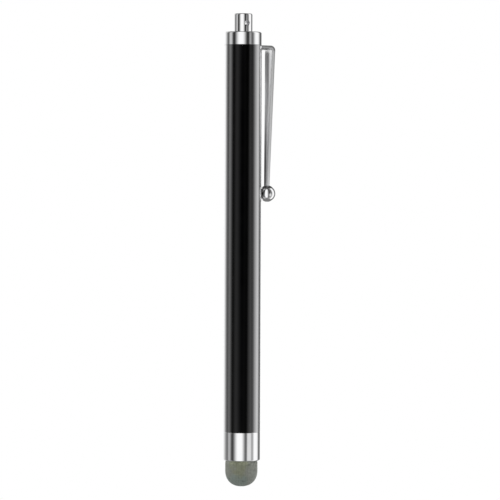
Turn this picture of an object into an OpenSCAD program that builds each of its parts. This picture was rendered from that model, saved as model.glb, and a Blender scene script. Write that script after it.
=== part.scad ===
// Slim metal stylus with a knitted touch tip, a spring pocket clip and a lanyard hole in its cap.
// Upright frame: the pen's axis is Z, the tip's lowest point is the origin and the clip is on +X.

/* [Barrel] */
// Outer diameter of the tube, which the cap's collar and the nose ring share
barrel_d = 9; // [8.8:0.1:11]
// Wall of the tube
barrel_wall = 0.5; // [0.4:0.05:0.6]
// Length of the tube
barrel_len = 92.4; // [70:0.1:110]
// Chamfer on both rims of the tube
barrel_edge = 0.15; // [0.05:0.05:0.3]

/* [Top cap] */
// Height of the collar that sits on the tube
collar_h = 3.1; // [2:0.1:6]
// Rounding of the collar's upper edge
collar_edge = 0.3; // [0.1:0.05:0.8]
// Chamfer of the collar's lower edge, one side of the groove seen above the tube
collar_seam = 0.12; // [0.05:0.01:0.3]
// Diameter of the neck above the collar
neck_d = 4.5; // [3.5:0.1:7]
// Height of the neck
neck_h = 4.4; // [3.5:0.1:8]
// Rounding of the neck's upper edge
neck_edge = 0.3; // [0.1:0.05:0.8]
// Diameter of the lanyard hole across the neck
hole_d = 1.1; // [0.8:0.1:2]
// Chamfer at each mouth of the lanyard hole
hole_chamfer = 0.12; // [0.06:0.02:0.4]
// Outer diameter of the threaded spigot under the collar
spigot_d = 5; // [4:0.1:5.6]
// Length of the spigot
spigot_len = 6.5; // [4:0.1:12]

/* [Cap bush] */
// Length of the brass bush in the tube that the spigot screws into
bush_len = 7.5; // [5:0.1:15]

/* [Clip] */
// Thickness of the clip's strip
clip_t = 0.95; // [0.6:0.05:1.2]
// Width of the strip at the bend
clip_root_w = 4.1; // [3:0.1:5.6]
// Width of the strip at the ball
clip_end_w = 1.05; // [0.8:0.05:2.6]
// Inner radius of the bend
clip_bend_r = 0.2; // [0.15:0.05:0.6]
// Space between the tube and the arm at the bend
clip_gap_top = 2.2; // [1.6:0.05:3]
// Space between the tube and the arm at the ball's height
clip_gap_low = 1.45; // [0.9:0.05:1.6]
// Distance from the tube's upper rim down to the ball's centre
clip_drop = 35.4; // [20:0.1:60]
// Diameter of the ball at the arm's end
ball_d = 4; // [3.6:0.1:5]
// Space between the ball and the tube
ball_gap = 0.08; // [0.05:0.01:0.3]
// Depth of the arm's end in the ball
tongue_in = 1.6; // [1:0.1:2.2]
// Furthest angle the arm springs open
flex_deg = 5; // [2:0.5:8]

/* [Nose ring] */
// Height of the chrome ring between the tip and the tube
ring_h = 6.8; // [5:0.1:10]
// Rounding of the ring's lower edge
ring_edge = 0.26; // [0.1:0.02:0.5]
// Chamfer of the ring's upper edge
ring_seam = 0.12; // [0.05:0.01:0.3]
// Thickness of the floor inside the ring
web_t = 1.8; // [1:0.1:2.4]
// Length of the spigot that the tube is pushed on
ring_spigot_len = 6; // [4:0.1:12]
// Wall of that spigot
ring_spigot_wall = 0.7; // [0.5:0.05:0.9]

/* [Tip] */
// Diameter of the knitted dome
tip_d = 7.7; // [7:0.1:7.9]
// Length of the tip that shows below the ring
tip_out = 6.3; // [5.6:0.1:9]
// Thickness of the knitted fabric
sock_wall = 0.45; // [0.3:0.05:0.6]
// Thickness of the hollow silicone bulb under the fabric
core_wall = 0.9; // [0.5:0.05:1.1]
// Furthest distance the tip is pressed in
press_travel = 0.7; // [0.3:0.1:1]
// Height of the band that holds the fabric's hem
band_h = 1.2; // [0.6:0.1:1.3]
// Thickness of that band
band_t = 0.25; // [0.15:0.05:0.35]

/* [Tip stem] */
// Thickness of the stem's flange under the ring's floor
flange_t = 0.8; // [0.5:0.1:1.2]
// Diameter of the threaded shank through the floor
shank_d = 2.5; // [2:0.1:2.8]
// Diameter of the boss that the bulb is bonded to
boss_d = 3.4; // [2.8:0.1:3.8]
// Length of the boss
boss_len = 2; // [1:0.1:2.6]
// Distance across the flats of the shank's nut
nut_flats = 5; // [4.5:0.1:5.4]
// Thickness of the nut
nut_t = 2; // [1.2:0.1:2.6]

/* [Fits] */
// Radial room of the tip in the ring's mouth
tip_gap = 0.1; // [0.08:0.01:0.14]
// Room between the fabric and the bulb inside it
skin_gap = 0.05; // [0.03:0.01:0.08]
// Room beside the strip in the tube's notch and around the spigot in the clip's eye
clip_fit = 0.05; // [0.02:0.01:0.15]

/* [Hidden] */
$fn = 96;

// Reach of a cutting shape past the surface that it cuts
over = 1;
barrel_r = barrel_d / 2;
bore_r = barrel_r - barrel_wall;
ring_z = tip_out;
tube_z = ring_z + ring_h;
rim_z = tube_z + barrel_len;
neck_z = rim_z + collar_h;
top_z = neck_z + neck_h;
hole_z = neck_z + neck_h / 2;
thread_run_out = 0.5;

// The strip lies in a notch of the tube's rim, under the collar
strip_z = rim_z - clip_t;
bush_z = strip_z - bush_len;
eye_r = spigot_d / 2 + clip_fit;
bend_out = clip_bend_r + clip_t;
bend_z = strip_z - clip_bend_r;
ball_z = rim_z - clip_drop;
lean = atan((clip_gap_top - clip_gap_low) / (bend_z - ball_z));
bend_x = barrel_r + clip_gap_top - clip_bend_r / cos(lean);
ball_x = barrel_r + ball_gap + ball_d / 2;
arm_len = (bend_z - ball_z) / cos(lean) - ball_d / 2 + tongue_in;
// The bend is parted halfway round, by an angle that the arm's travel uses up
part_deg = 45;
part_slot = flex_deg + 1.5;

// The tip's hem slides in the ring's mouth, below the floor that carries the stem
mouth_r = tip_d / 2 + tip_gap;
mouth_lip = 0.05;
waist_in = 0.13;
waist_h = 0.5;
waist_z = ring_z - 0.6;
sock_waist_r = tip_d / 2 - waist_in;
hem_r = mouth_r - tip_gap - band_t;
hem_h = 2;
hem_step = 0.3;
hem_z = ring_z + 0.7;
hem_room = 0.3;
sock_top = hem_z + hem_step + hem_h;
web_z = sock_top + press_travel + hem_room;
flange_z = web_z - flange_t;
flange_room = 0.15;
flange_r = hem_r - sock_wall - flange_room;
ring_hollow_r = bore_r - ring_spigot_wall;
ring_hollow_z = web_z + web_t;
shank_len = web_t + nut_t + thread_run_out;
boss_edge = 0.3;
drive_w = 0.5;
drive_depth = 0.8;

// Turned disc from z = 0 with its upper outer edge rounded
module rounded_disc(r, h, edge) {
    rotate_extrude()
        difference() {
            square([r, h]);
            translate([r - edge, h - edge])
                difference() {
                    square(edge + over);
                    circle(r = edge);
                }
        }
}

// Turned disc from z = 0 with its lower outer edge chamfered
module chamfered_disc(r, h, edge) {
    cylinder(r1 = r - edge, r2 = r, h = edge);
    translate([0, 0, edge])
        cylinder(r = r, h = h - edge);
}

module barrel_tube() {
    color([0.03, 0.03, 0.035])
        difference() {
            translate([0, 0, tube_z])
                union() {
                    chamfered_disc(barrel_r, barrel_len / 2, barrel_edge);
                    translate([0, 0, barrel_len])
                        mirror([0, 0, 1])
                            chamfered_disc(barrel_r, barrel_len / 2, barrel_edge);
                }
            translate([0, 0, tube_z - over])
                cylinder(r = bore_r, h = barrel_len + 2 * over);
            translate([0, -clip_root_w / 2 - clip_fit, strip_z])
                cube([barrel_d, clip_root_w + 2 * clip_fit, clip_t + over]);
        }
}

module top_cap() {
    color([0.85, 0.85, 0.87])
        difference() {
            union() {
                translate([0, 0, rim_z])
                    intersection() {
                        rounded_disc(barrel_r, collar_h, collar_edge);
                        chamfered_disc(barrel_r, collar_h, collar_seam);
                    }
                translate([0, 0, neck_z])
                    rounded_disc(neck_d / 2, neck_h, neck_edge);
                translate([0, 0, rim_z - spigot_len])
                    chamfered_disc(spigot_d / 2, spigot_len, thread_run_out);
            }
            translate([0, 0, hole_z])
                rotate([90, 0, 0])
                    lanyard_hole();
        }
}

// Cross hole along Z, with a cone at each mouth that starts where the chamfer does
module lanyard_hole() {
    cone_z = neck_d / 2 - hole_chamfer;
    cone_h = hole_chamfer + over;
    cylinder(d = hole_d, h = neck_d + 2 * over, center = true);
    for (side = [0, 1])
        mirror([0, 0, side])
            translate([0, 0, cone_z])
                cylinder(r1 = hole_d / 2, r2 = hole_d / 2 + cone_h, h = cone_h);
}

module cap_bush() {
    color([0.72, 0.55, 0.25])
        translate([0, 0, bush_z])
            difference() {
                cylinder(r = bore_r, h = bush_len);
                translate([0, 0, -over])
                    cylinder(d = spigot_d, h = bush_len + 2 * over);
            }
}

// Sector of the bend between two angles, measured up from +X about the bend's centre
module bend_arc(from, to) {
    reach = 2 * bend_out;
    translate([bend_x, 0, bend_z])
        rotate([90, 0, 0])
            linear_extrude(clip_root_w, center = true)
                intersection() {
                    difference() {
                        circle(r = bend_out);
                        circle(r = clip_bend_r);
                    }
                    polygon([[0, 0],
                             [reach * cos(from), reach * sin(from)],
                             [reach * cos((from + to) / 2), reach * sin((from + to) / 2)],
                             [reach * cos(to), reach * sin(to)]]);
                }
}

// Fixed half of the clip: the eye round the spigot, the strip in the notch and half the bend
module clip_root() {
    color([0.85, 0.85, 0.87])
        union() {
            difference() {
                union() {
                    translate([0, 0, strip_z])
                        cylinder(r = bore_r - clip_fit, h = clip_t);
                    translate([0, -clip_root_w / 2, strip_z])
                        cube([bend_x, clip_root_w, clip_t]);
                }
                translate([0, 0, strip_z - over])
                    cylinder(r = eye_r, h = clip_t + 2 * over);
            }
            bend_arc(part_deg + part_slot / 2, 90);
        }
}

// Flat tapering strip of the arm, down to its end in the ball
module arm_strip() {
    end_w = clip_root_w + (clip_end_w - clip_root_w) * arm_len / (arm_len - tongue_in);
    translate([bend_x, 0, bend_z])
        rotate([0, lean, 0])
            translate([clip_bend_r, 0, 0])
                rotate([90, 0, 90])
                    linear_extrude(clip_t)
                        polygon([[-clip_root_w / 2, 0],
                                 [clip_root_w / 2, 0],
                                 [end_w / 2, -arm_len],
                                 [-end_w / 2, -arm_len]]);
}

// Moving half of the clip: the rest of the bend and the arm
module clip_arm() {
    color([0.85, 0.85, 0.87])
        union() {
            bend_arc(-lean, part_deg - part_slot / 2);
            arm_strip();
        }
}

module clip_ball() {
    color([0.88, 0.88, 0.9])
        difference() {
            translate([ball_x, 0, ball_z])
                sphere(d = ball_d);
            arm_strip();
        }
}

module nose_ring() {
    edge = min(ring_edge, barrel_r - mouth_r - mouth_lip);
    color([0.85, 0.85, 0.87])
        difference() {
            union() {
                translate([0, 0, tube_z])
                    mirror([0, 0, 1])
                        intersection() {
                            rounded_disc(barrel_r, ring_h, edge);
                            chamfered_disc(barrel_r, ring_h, ring_seam);
                        }
                translate([0, 0, tube_z])
                    cylinder(r = bore_r, h = ring_spigot_len);
            }
            translate([0, 0, ring_z - over])
                cylinder(r = mouth_r, h = web_z - ring_z + over);
            translate([0, 0, web_z - over])
                cylinder(d = shank_d, h = web_t + 2 * over);
            translate([0, 0, ring_hollow_z])
                cylinder(r = ring_hollow_r, h = tube_z + ring_spigot_len - ring_hollow_z + over);
        }
}

module tip_stem() {
    color([0.72, 0.55, 0.25])
        difference() {
            union() {
                translate([0, 0, flange_z - boss_len])
                    chamfered_disc(boss_d / 2, boss_len, boss_edge);
                translate([0, 0, flange_z])
                    cylinder(r = flange_r, h = flange_t);
                translate([0, 0, web_z])
                    cylinder(d = shank_d, h = shank_len);
            }
            translate([-shank_d, -drive_w / 2, web_z + shank_len - drive_depth])
                cube([2 * shank_d, drive_w, drive_depth + over]);
        }
}

module stem_nut() {
    color([0.7, 0.7, 0.72])
        translate([0, 0, ring_hollow_z])
            difference() {
                cylinder(d = nut_flats / cos(30), h = nut_t, $fn = 6);
                translate([0, 0, -over])
                    cylinder(d = shank_d, h = nut_t + 2 * over);
            }
}

// Outline of the tip's layers as a solid, drawn in by a depth: the dome, the waist and the gathered hem
module tip_form(depth, top) {
    translate([0, 0, tip_d / 2])
        sphere(r = tip_d / 2 - depth);
    translate([0, 0, tip_d / 2])
        cylinder(r = tip_d / 2 - depth, h = waist_z - tip_d / 2);
    translate([0, 0, waist_z])
        cylinder(r1 = tip_d / 2 - depth, r2 = sock_waist_r - depth, h = waist_h);
    translate([0, 0, waist_z + waist_h])
        cylinder(r = sock_waist_r - depth, h = hem_z - waist_z - waist_h);
    translate([0, 0, hem_z])
        cylinder(r1 = sock_waist_r - depth, r2 = hem_r - depth, h = hem_step);
    translate([0, 0, hem_z + hem_step])
        cylinder(r = hem_r - depth, h = top - hem_z - hem_step);
}

// Hollow silicone bulb: a dome with its upper end on the stem's flange
module tip_core() {
    outer = sock_wall + skin_gap;
    color([0.2, 0.2, 0.2])
        difference() {
            tip_form(outer, flange_z);
            difference() {
                tip_form(outer + core_wall, flange_z + over);
                translate([0, 0, flange_z - boss_len])
                    cylinder(r = barrel_r, h = boss_len + 2 * over);
            }
            translate([0, 0, flange_z - boss_len])
                chamfered_disc(boss_d / 2, boss_len + over, boss_edge);
        }
}

module tip_sock() {
    color([0.44, 0.46, 0.42])
        difference() {
            tip_form(0, sock_top);
            tip_form(sock_wall, sock_top + over);
        }
}

// Band crimped round the fabric's hem
module sock_band() {
    color([0.7, 0.7, 0.72])
        translate([0, 0, hem_z + hem_step + (hem_h - band_h) / 2])
            difference() {
                cylinder(r = hem_r + band_t, h = band_h);
                translate([0, 0, -over])
                    cylinder(r = hem_r, h = band_h + 2 * over);
            }
}

barrel_tube();
top_cap();
cap_bush();
clip_root();
clip_arm();
clip_ball();
nose_ring();
tip_stem();
stem_nut();
tip_core();
sock_band();
tip_sock();
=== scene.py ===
# Touchscreen stylus with a knitted tip and a spring clip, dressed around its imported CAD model.
import bpy
import math
import numpy as np
from mathutils import Matrix, Vector


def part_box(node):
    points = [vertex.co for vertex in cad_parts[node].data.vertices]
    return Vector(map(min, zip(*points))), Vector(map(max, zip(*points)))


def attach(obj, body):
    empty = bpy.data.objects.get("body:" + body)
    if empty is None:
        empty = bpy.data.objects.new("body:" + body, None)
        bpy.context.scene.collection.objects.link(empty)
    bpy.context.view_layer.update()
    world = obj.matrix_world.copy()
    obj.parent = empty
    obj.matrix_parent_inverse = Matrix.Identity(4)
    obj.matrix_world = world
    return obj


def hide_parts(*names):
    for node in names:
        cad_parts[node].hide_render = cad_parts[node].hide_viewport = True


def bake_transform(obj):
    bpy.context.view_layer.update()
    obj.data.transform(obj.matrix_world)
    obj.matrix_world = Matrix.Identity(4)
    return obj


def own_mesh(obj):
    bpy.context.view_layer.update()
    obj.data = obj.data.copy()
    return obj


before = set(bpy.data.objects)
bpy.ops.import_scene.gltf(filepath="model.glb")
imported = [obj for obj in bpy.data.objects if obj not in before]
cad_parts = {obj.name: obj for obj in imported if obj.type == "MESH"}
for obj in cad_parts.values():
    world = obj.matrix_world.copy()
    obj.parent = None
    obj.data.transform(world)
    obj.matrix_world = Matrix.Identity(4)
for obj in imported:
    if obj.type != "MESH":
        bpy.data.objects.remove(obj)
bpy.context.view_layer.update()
scene = bpy.context.scene
scene.view_settings.view_transform = "Standard"
mm = 0.001
samePlace = 1e-6  # mm
onSurface = 1e-3  # mm, how near a radius has to be for a shape to move its point
print("frame loaded:", len(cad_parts), "nodes")


def toMm(metres):
    # to the nearest 0.05 mm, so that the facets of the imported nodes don't count
    return round(metres / mm * 20) / 20


def footOf(node):
    return toMm(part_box(node)[0].z)


def topOf(node):
    return toMm(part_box(node)[1].z)


def reachOf(node):  # from the pen's axis
    return toMm(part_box(node)[1].x)


# Radii and heights, in mm, that several pieces share
pen = {
    "radius": reachOf("barrel_tube"),
    "bore": reachOf("cap_bush"),
    "tubeFoot": footOf("barrel_tube"),
    "tubeRim": topOf("barrel_tube"),
    "spigotRadius": 2.5,
    "shankRadius": 1.25,
    "threadPitch": 0.5,
    "shankPitch": 0.45,
    "threadRows": 8,  # in one turn
}


def clamp(value):
    return min(max(value, 0.0), 1.0)


def smoothStep(value, start, end):
    t = clamp((value - start) / (end - start))
    return t * t * (3 - 2 * t)


def addObject(name, data):
    added = bpy.data.objects.new(name, data)
    scene.collection.objects.link(added)
    return added


def shadeSmooth(mesh, sharpAngle):
    mesh.polygons.foreach_set("use_smooth", [True] * len(mesh.polygons))
    mesh.set_sharp_from_angle(angle=math.radians(sharpAngle))


def meshPiece(name, points, faces, materials, sharpAngle=32):  # points in mm
    mesh = bpy.data.meshes.new(name)
    mesh.from_pydata((np.array(points, float) * mm).tolist(), [], faces)
    shadeSmooth(mesh, sharpAngle)
    for material in materials:
        mesh.materials.append(material)
    return addObject(name, mesh)


def steadyShine(piece):
    # big faces set the normals, so that small rounded edges don't bend the reflections beside them
    normals = piece.modifiers.new("steadyShine", "WEIGHTED_NORMAL")
    normals.keep_sharp = True
    normals.mode = "FACE_AREA"


def settle(piece, body, node):
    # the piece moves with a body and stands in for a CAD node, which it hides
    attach(piece, body)
    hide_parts(node)


def softCorners(corners, steps=6, closed=False):
    # corners are (radius, height, rounding); a rounding of 0 leaves the corner sharp
    path = []
    last = len(corners) - 1
    for i, (r, z, rounding) in enumerate(corners):
        here = Vector((r, z))
        if rounding == 0 or (not closed and i in (0, last)):
            path.append((r, z))
            continue
        before = (Vector(corners[i - 1][:2]) - here).normalized()
        after = (Vector(corners[(i + 1) % len(corners)][:2]) - here).normalized()
        half = before.angle(after) / 2
        centre = here + (before + after).normalized() * rounding / math.sin(half)
        start = (here + before * rounding / math.tan(half) - centre).normalized()
        end = (here + after * rounding / math.tan(half) - centre).normalized()
        path += [tuple(centre + start.slerp(end, k / steps) * rounding) for k in range(steps + 1)]
    return path


def splitRows(path, low, high, step):
    # adds rows to the stretches of a path that lie between two heights
    rows = []
    for (r, z), (nextR, nextZ) in zip(path, path[1:]):
        rows.append((r, z))
        inside = low - samePlace <= min(z, nextZ) and max(z, nextZ) <= high + samePlace
        count = int(abs(nextZ - z) / step) if inside else 0
        rows += [(r + (nextR - r) * k / count, z + (nextZ - z) * k / count) for k in range(1, count)]
    return rows + [path[-1]]


def splitLoop(path, low, high, step):
    return splitRows(path + path[:1], low, high, step)[:-1]


def turnedFaces(path, sides, shape=None, closed=False):
    # turns a path of (radius, height) about Z; shape(angle, radius, height) may move each point
    points, rings = [], []
    for r, z in path:
        if r < samePlace:
            rings.append([len(points)] * sides)
            points.append((0.0, 0.0, z))
            continue
        rings.append(list(range(len(points), len(points) + sides)))
        for i in range(sides):
            angle = 2 * math.pi * i / sides
            radius, height = shape(angle, r, z) if shape else (r, z)
            points.append((radius * math.cos(angle), radius * math.sin(angle), height))
    faces = []
    for low, high in zip(rings, rings[1:] + (rings[:1] if closed else [])):
        for i in range(sides):
            j = (i + 1) % sides
            corners = list(dict.fromkeys((low[i], low[j], high[j], high[i])))
            if len(corners) > 2:
                faces.append(corners)
    return points, faces


def turnedPiece(name, path, materials, sides=128, shape=None, closed=False, sharpAngle=32):
    points, faces = turnedFaces(path, sides, shape, closed)
    return meshPiece(name, points, faces, materials, sharpAngle)


def boxTool(name, low, high, material):  # a block between two corners, in mm
    points = [(x, y, z) for x in (low[0], high[0]) for y in (low[1], high[1]) for z in (low[2], high[2])]
    faces = [(0, 1, 3, 2), (4, 6, 7, 5), (0, 4, 5, 1), (2, 3, 7, 6), (0, 2, 6, 4), (1, 5, 7, 3)]
    return meshPiece(name, points, faces, [material])


def carve(piece, tool, operation="DIFFERENCE", sharpAngle=32):
    # cuts tool out of piece, or joins it on, and removes tool
    cut = piece.modifiers.new("carve", "BOOLEAN")
    cut.object = tool
    cut.operation = operation
    cut.solver = "EXACT"
    evaluated = piece.evaluated_get(bpy.context.evaluated_depsgraph_get())
    carved = bpy.data.meshes.new_from_object(evaluated)
    piece.modifiers.clear()
    piece.data = carved
    bpy.data.objects.remove(tool)
    shadeSmooth(carved, sharpAngle)


def threadShape(low, high, pitch, depth, atRadius, fade=0.5, inner=False):
    # right-handed thread on the rows at atRadius between two heights; an inner one grows towards the axis
    def shape(angle, r, z):
        if abs(r - atRadius) > onSurface or not low < z < high:
            return r, z
        turn = (z / pitch - angle / (2 * math.pi)) % 1
        crest = clamp(abs(2 * turn - 1) * 1.5 - 0.25)  # a V, cut off flat at both ends
        strength = smoothStep(z, low, low + fade) * smoothStep(high - z, 0, fade)
        return r - depth * strength * (crest if inner else 1 - crest), z
    return shape


# Materials. Object coordinates are in metres, so mmCoordinates scales them first.

def addNode(tree, kind, inputs=None, **settings):
    node = tree.nodes.new("ShaderNode" + kind)
    for key, value in settings.items():
        setattr(node, key, value)
    for name, value in (inputs or {}).items():
        if isinstance(value, bpy.types.NodeSocket):
            tree.links.new(value, node.inputs[name])
        else:
            node.inputs[name].default_value = value
    return node


def newGroup(name, inputs, outputs):
    # inputs are names with their defaults, four numbers for a colour; outputs are names with their kinds
    group = bpy.data.node_groups.new(name, "ShaderNodeTree")
    for label, value in inputs.items():
        kind = "NodeSocketColor" if isinstance(value, tuple) else "NodeSocketFloat"
        group.interface.new_socket(label, in_out="INPUT", socket_type=kind).default_value = value
    for label, kind in outputs.items():
        group.interface.new_socket(label, in_out="OUTPUT", socket_type="NodeSocket" + kind)
    entry = group.nodes.new("NodeGroupInput")
    result = group.nodes.new("NodeGroupOutput")
    return group, entry.outputs, result.inputs


def mmCoordinates(tree, stretch=(1, 1, 1)):
    place = addNode(tree, "TexCoord").outputs["Object"]
    scale = [s / mm for s in stretch]
    return addNode(tree, "Mapping", {"Vector": place, "Scale": scale}).outputs["Vector"]


def mathNode(tree, operation, first, second, clamped=False):
    inputs = {0: first, 1: second}
    return addNode(tree, "Math", inputs, operation=operation, use_clamp=clamped).outputs[0]


def times(tree, first, second, clamped=False):
    return mathNode(tree, "MULTIPLY", first, second, clamped)


def plus(tree, first, second, clamped=False):
    return mathNode(tree, "ADD", first, second, clamped)


def noiseNode(tree, vector, scale, detail=2.0):
    inputs = {"Vector": vector, "Scale": scale, "Detail": detail}
    return addNode(tree, "TexNoise", inputs).outputs["Fac"]


def rampNode(tree, value, start, end, low=0.0, high=1.0):
    inputs = {"Value": value, "From Min": start, "From Max": end, "To Min": low, "To Max": high}
    return addNode(tree, "MapRange", inputs, interpolation_type="SMOOTHSTEP").outputs["Result"]


def mixColours(tree, factor, first, second):
    inputs = {"Factor": factor, "A": first, "B": second}
    return addNode(tree, "Mix", inputs, data_type="RGBA").outputs["Result"]


def attributeNode(tree, name):
    return addNode(tree, "Attribute", attribute_name=name).outputs["Fac"]


def makeHandling():
    # fine scratches along and across the pen, and the soft smudges of handling
    group, given, result = newGroup("handling", {"Roughness": 0.1, "Smudges": 0.04, "Scratches": 0.08},
                                    {"Roughness": "Float", "Height": "Float"})
    smudge = noiseNode(group, mmCoordinates(group), 0.35, 3.0)
    along = noiseNode(group, mmCoordinates(group, (5, 5, 0.25)), 1.0, 1.0)
    across = noiseNode(group, mmCoordinates(group, (0.5, 0.5, 9)), 1.0, 1.0)
    along, across = rampNode(group, along, 0.66, 0.74), rampNode(group, across, 0.7, 0.78)
    lines = mathNode(group, "MAXIMUM", along, across)
    smudged = times(group, rampNode(group, smudge, 0.35, 0.7), given["Smudges"])
    worn = plus(group, smudged, times(group, lines, given["Scratches"]))
    group.links.new(plus(group, worn, given["Roughness"]), result["Roughness"])
    group.links.new(times(group, lines, -1.0), result["Height"])
    return group


def makeDrift():
    # slow change between two colours
    grey, darker = (0.5, 0.5, 0.5, 1), (0.4, 0.4, 0.4, 1)
    group, given, result = newGroup("drift", {"Colour": grey, "Other": darker, "Per mm": 0.5},
                                    {"Colour": "Color"})
    cloud = noiseNode(group, mmCoordinates(group), given["Per mm"], 3.0)
    blend = mixColours(group, rampNode(group, cloud, 0.36, 0.64), given["Colour"], given["Other"])
    group.links.new(blend, result["Colour"])
    return group


def makeTurning():
    # the fine rings that a lathe leaves, which change only with height and radius
    group, given, result = newGroup("turning", {"Per mm": 8.0, "Roughness": 0.25, "Spread": 0.15},
                                    {"Roughness": "Float", "Height": "Float"})
    parts = addNode(group, "SeparateXYZ", {"Vector": mmCoordinates(group)}).outputs
    flat = addNode(group, "CombineXYZ", {"X": parts["X"], "Y": parts["Y"]}).outputs["Vector"]
    radius = addNode(group, "VectorMath", {0: flat}, operation="LENGTH").outputs["Value"]
    rings = addNode(group, "CombineXYZ", {"X": radius, "Z": parts["Z"]}).outputs["Vector"]
    tool = noiseNode(group, rings, given["Per mm"])
    spread = times(group, mathNode(group, "SUBTRACT", tool, 0.5), given["Spread"])
    group.links.new(plus(group, given["Roughness"], spread, clamped=True), result["Roughness"])
    group.links.new(tool, result["Height"])
    return group


def makeDust():
    # scattered specks, as a mask
    group, given, result = newGroup("dust", {"Per mm": 2.0, "Amount": 0.2}, {"Mask": "Float"})
    inputs = {"Vector": mmCoordinates(group), "Scale": given["Per mm"]}
    cells = addNode(group, "TexVoronoi", inputs).outputs
    near = rampNode(group, cells["Distance"], 0.09, 0.16, 1.0, 0.0)
    chance = addNode(group, "SeparateColor", {"Color": cells["Color"]}).outputs[0]
    picked = mathNode(group, "LESS_THAN", chance, given["Amount"])
    group.links.new(times(group, near, picked), result["Mask"])
    return group


groups = {"handling": makeHandling(), "drift": makeDrift(), "turning": makeTurning(), "dust": makeDust()}


def newMaterial(name, settings):
    material = bpy.data.materials.new(name)
    material.use_nodes = True
    shader = material.node_tree.nodes["Principled BSDF"]
    for socket, value in settings.items():
        shader.inputs[socket].default_value = value
    return material, material.node_tree, shader


def placeGroup(tree, name, inputs):
    return addNode(tree, "Group", inputs, node_tree=groups[name]).outputs


def driftingColour(tree, colour, other, perMm):
    inputs = {"Colour": (*colour, 1), "Other": (*other, 1), "Per mm": perMm}
    return placeGroup(tree, "drift", inputs)["Colour"]


def finishShader(tree, shader, colour, roughness, height, strength, distance):  # distance in mm
    inputs = {"Height": height, "Strength": strength, "Distance": distance * mm}
    normal = addNode(tree, "Bump", inputs).outputs["Normal"]
    for socket, value in (("Base Color", colour), ("Roughness", roughness), ("Normal", normal)):
        tree.links.new(value, shader.inputs[socket])


def plating(name, colour, other, roughness, thin=False):
    # mirror-bright plating with fine scratches and smudges
    material, tree, shader = newMaterial(name, {"Metallic": 1.0})
    shine = driftingColour(tree, colour, other, 0.3)
    if thin:  # darker and satin where the mesh has its "dull" attribute
        satinAndShade = attributeNode(tree, "satinAndShade")
        roughness = rampNode(tree, satinAndShade, 0.02, 0.15, roughness, 0.28)
        # painted shade: the attribute mixes a dark grey into the clip's inner side
        shine = mixColours(tree, satinAndShade, shine, (0.12, 0.12, 0.125, 1))
    wear = placeGroup(tree, "handling", {"Roughness": roughness, "Smudges": 0.03, "Scratches": 0.06})
    finishShader(tree, shader, shine, wear["Roughness"], wear["Height"], 0.04, 0.004)
    return material


def turnedMetal(name, colour, other, roughness, spread, strength):
    # bare metal as the lathe left it
    material, tree, shader = newMaterial(name, {"Metallic": 1.0})
    shine = driftingColour(tree, colour, other, 0.6)
    lathe = placeGroup(tree, "turning", {"Per mm": 9.0, "Roughness": roughness, "Spread": spread})
    finishShader(tree, shader, shine, lathe["Roughness"], lathe["Height"], strength, 0.01)
    return material


def lacquer():
    # gloss black: next to no shine where it faces the eye, and nearly a mirror towards its sides
    material, tree, shader = newMaterial("blackLacquer", {"Metallic": 1.0})
    pigment = driftingColour(tree, (0.0008, 0.0008, 0.001), (0.0018, 0.0018, 0.002), 0.15)
    wear = placeGroup(tree, "handling", {"Roughness": 0.13, "Smudges": 0.03, "Scratches": 0.08})
    specks = placeGroup(tree, "dust", {"Per mm": 0.9, "Amount": 0.1})["Mask"]
    dusty = mixColours(tree, times(tree, specks, 0.05), pigment, (0.4, 0.4, 0.38, 1))
    facing = addNode(tree, "LayerWeight", {"Blend": 0.5}).outputs["Facing"]
    steeper = plus(tree, times(tree, facing, 2.2), 0.55)
    gloss = mixColours(tree, times(tree, facing, steeper, clamped=True), dusty, (0.97, 0.97, 0.98, 1))
    peel = noiseNode(tree, mmCoordinates(tree), 2.2)
    finishShader(tree, shader, gloss, wear["Roughness"], plus(tree, peel, wear["Height"]), 0.05, 0.006)
    return material


def silicone():
    look = {"IOR": 1.41, "Subsurface Weight": 0.3, "Subsurface Scale": 0.0004}
    material, tree, shader = newMaterial("greySilicone", look)
    pigment = driftingColour(tree, (0.05, 0.052, 0.05), (0.075, 0.075, 0.07), 0.8)
    specks = placeGroup(tree, "dust", {"Per mm": 1.5, "Amount": 0.3})["Mask"]
    shade = mixColours(tree, times(tree, specks, 0.4), pigment, (0.35, 0.35, 0.33, 1))
    grain = noiseNode(tree, mmCoordinates(tree), 6.0, 3.0)
    finishShader(tree, shader, shade, rampNode(tree, grain, 0.3, 0.7, 0.42, 0.6), grain, 0.15, 0.01)
    return material


# The yarn's colours, and the direction across the pen in which they change
yarnLook = {"olive": (0.3, 0.318, 0.225, 1), "grey": (0.305, 0.318, 0.28, 1),
            "seaGreen": (0.255, 0.3, 0.265, 1), "sideways": (0.906, -0.423, 0)}


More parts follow.
